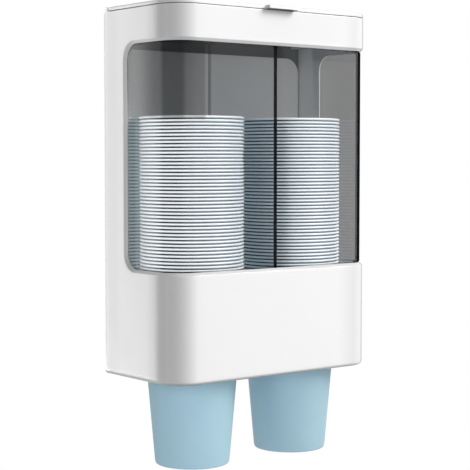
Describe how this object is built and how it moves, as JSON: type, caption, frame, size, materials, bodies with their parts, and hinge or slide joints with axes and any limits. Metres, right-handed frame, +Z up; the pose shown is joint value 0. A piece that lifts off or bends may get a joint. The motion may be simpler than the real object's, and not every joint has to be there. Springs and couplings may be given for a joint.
{
  "type": "cup dispenser",
  "caption": "Wall-mounted pull-down dispenser for paper cups: white housing, smoked wrap-round window, hinged lid, two stacks with their lowest cups hanging out below.",
  "frame": {"origin": "middle of the housing's flat back face, on the wall", "axes": "+Z up, +Y into the wall, -Y towards the user, +X to the user's right as they face it"},
  "size_m": [0.182, 0.089, 0.3221],
  "materials": {
    "white_abs": "glossy moulded white ABS",
    "grey_abs": "satin grey ABS",
    "smoked_acrylic": "clear smoked acrylic, polished",
    "silicone": "soft translucent silicone",
    "zinc_steel": "zinc-plated steel",
    "blue_paper": "coated light blue paper board"
  },
  "bodies": {
    "root": {"front_cover": "white_abs", "back_plate": "grey_abs", "window_pane": "smoked_acrylic", "partition": "smoked_acrylic", "outlet_deck": "white_abs", "cover_screw_1": "zinc_steel", "deck_screw_1": "zinc_steel", "cover_screw_2": "zinc_steel", "deck_screw_2": "zinc_steel", "cover_screw_3": "zinc_steel", "deck_screw_3": "zinc_steel", "cover_screw_4": "zinc_steel", "deck_screw_4": "zinc_steel", "left_finger_gasket": "silicone", "left_clamp_ring": "white_abs", "left_hinge_pin": "zinc_steel", "left_ring_screw_1": "zinc_steel", "left_ring_screw_2": "zinc_steel", "left_ring_screw_3": "zinc_steel", "left_ring_screw_4": "zinc_steel", "right_finger_gasket": "silicone", "right_clamp_ring": "white_abs", "right_hinge_pin": "zinc_steel", "right_ring_screw_1": "zinc_steel", "right_ring_screw_2": "zinc_steel", "right_ring_screw_3": "zinc_steel", "right_ring_screw_4": "zinc_steel"},
    "lid": {"lid": "white_abs"},
    "left_hanging_cup": {"left_hanging_cup": "blue_paper"},
    "left_cup_stack": {"left_cup_stack": "blue_paper"},
    "right_hanging_cup": {"right_hanging_cup": "blue_paper"},
    "right_cup_stack": {"right_cup_stack": "blue_paper"}
  },
  "joints": [
    {"name": "lid_hinge", "type": "hinge", "parent": "root", "child": "lid", "pos_m": [0, -0.0034, 0.12675], "axis": [-1, 0, 0], "range_deg": [0, 90]},
    {"name": "left_cup_pull", "type": "slide", "parent": "root", "child": "left_hanging_cup", "axis": [0, 0, -1], "range_m": [0, 0.1], "deforming": ["left_finger_gasket"]},
    {"name": "left_stack_feed", "type": "slide", "parent": "root", "child": "left_cup_stack", "axis": [0, 0, -1], "range_m": [0, 0.00243]},
    {"name": "right_cup_pull", "type": "slide", "parent": "root", "child": "right_hanging_cup", "axis": [0, 0, -1], "range_m": [0, 0.1], "deforming": ["right_finger_gasket"]},
    {"name": "right_stack_feed", "type": "slide", "parent": "root", "child": "right_cup_stack", "axis": [0, 0, -1], "range_m": [0, 0.00243]}
  ],
  "couplings": [
    {"joint": "left_stack_feed", "follows": "left_cup_pull", "ratio": 0.0243},
    {"joint": "right_stack_feed", "follows": "right_cup_pull", "ratio": 0.0243}
  ]
}
